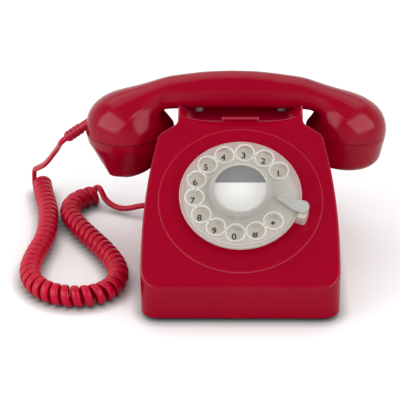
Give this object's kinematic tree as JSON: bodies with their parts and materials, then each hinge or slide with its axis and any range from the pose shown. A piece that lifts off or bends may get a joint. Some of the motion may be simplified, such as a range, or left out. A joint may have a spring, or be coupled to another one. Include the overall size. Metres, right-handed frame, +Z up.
{
  "type": "rotary telephone",
  "caption": "Wedge-shaped desk telephone with a rotary dial, a handset across its cradle and a curly handset cord, standing on rubber feet.",
  "frame": {"origin": "on the table, under the middle of the case", "axes": "+Z up, the dial face looks towards -Y, +X to the right of someone who dials"},
  "size_m": [0.2756, 0.2028, 0.1267],
  "materials": {
    "red_moulding": "polished moulded ABS, deep red",
    "red_cord": "extruded flexible PVC, deep red",
    "red_rubber": "moulded soft PVC, deep red",
    "black_rubber": "moulded rubber",
    "black_sheet": "pressed sheet steel, painted black",
    "ivory_moulding": "moulded ABS, ivory white",
    "clear_moulding": "clear moulded acrylic",
    "card": "printed card",
    "chrome": "plated pressing",
    "steel": "zinc-plated steel",
    "brass": "machined brass",
    "gong_metal": "spun bell brass",
    "black_moulding": "moulded black plastic",
    "copper": "enamelled copper winding",
    "board": "green glass-fibre circuit board"
  },
  "bodies": {
    "base": {"case_cover": "red_moulding", "base_plate": "black_sheet", "base_screws": "steel", "rubber_feet": "black_rubber", "dial_housing": "ivory_moulding", "number_plate": "ivory_moulding", "dial_lock_ring": "steel", "finger_stop": "chrome", "dial_bridge": "steel", "return_spring": "steel", "governor_cup": "brass", "contact_block": "black_moulding", "contact_leaves": "brass", "hook_bracket": "steel", "hook_switch": "black_moulding", "hook_spring": "steel", "gong_left": "gong_metal", "gong_right": "gong_metal", "gong_posts": "steel", "gong_nuts": "steel", "ringer_frame": "steel", "ringer_coils": "copper", "circuit_board": "board", "board_standoffs": "brass", "board_screws": "steel", "board_components": "black_moulding", "handset_socket": "black_moulding", "line_socket": "black_moulding", "cord_plug": "clear_moulding", "base_lead": "red_cord", "curly_cord": "red_cord", "handset_lead": "red_cord"},
    "dial": {"finger_plate": "clear_moulding", "label_card": "card", "label_cover": "clear_moulding", "label_bezel": "clear_moulding", "dial_shaft": "steel", "dial_hub": "brass", "main_gear": "brass", "impulse_cam": "black_moulding"},
    "governor": {"governor_pinion": "brass", "governor_rotor": "brass"},
    "hook": {"plunger_left": "clear_moulding", "plunger_right": "clear_moulding", "hook_bridge": "black_moulding"},
    "clapper": {"clapper_arm": "steel", "clapper_ball": "brass", "clapper_pin": "steel"},
    "handset": {"handset_body": "red_moulding", "ear_cap": "red_moulding", "mouth_cap": "red_moulding", "receiver_capsule": "black_moulding", "transmitter_capsule": "black_moulding", "handset_weight": "steel", "cord_grommet": "red_rubber"}
  },
  "joints": [
    {"name": "dial_spin", "type": "hinge", "parent": "base", "child": "dial", "pos_m": [0, -0.0418, 0.0663], "axis": [0, 0.5446, -0.8387], "range_deg": [0, 316], "stiffness_Nm_per_rad": 0.008, "springref_deg": -34.38},
    {"name": "governor_spin", "type": "hinge", "parent": "base", "child": "governor", "pos_m": [0, -0.01764, 0.08198], "axis": [0, 0.5446, -0.8387], "range_deg": [-1580, 0]},
    {"name": "handset_lift", "type": "slide", "parent": "base", "child": "handset", "axis": [0, 0, 1], "range_m": [0, 0.12], "deforming": ["curly_cord", "handset_lead", "base_lead"]},
    {"name": "hook_rise", "type": "slide", "parent": "base", "child": "hook", "axis": [0, 0, 1], "range_m": [0, 0.0045], "deforming": ["hook_spring"]},
    {"name": "clapper_swing", "type": "hinge", "parent": "base", "child": "clapper", "pos_m": [0, 0.035, 0.0257], "axis": [0, 0, 1], "range_deg": [-2, 2]}
  ],
  "couplings": [
    {"joint": "governor_spin", "follows": "dial_spin", "ratio": -5},
    {"joint": "hook_rise", "follows": "handset_lift", "ratio": 0.0375}
  ]
}
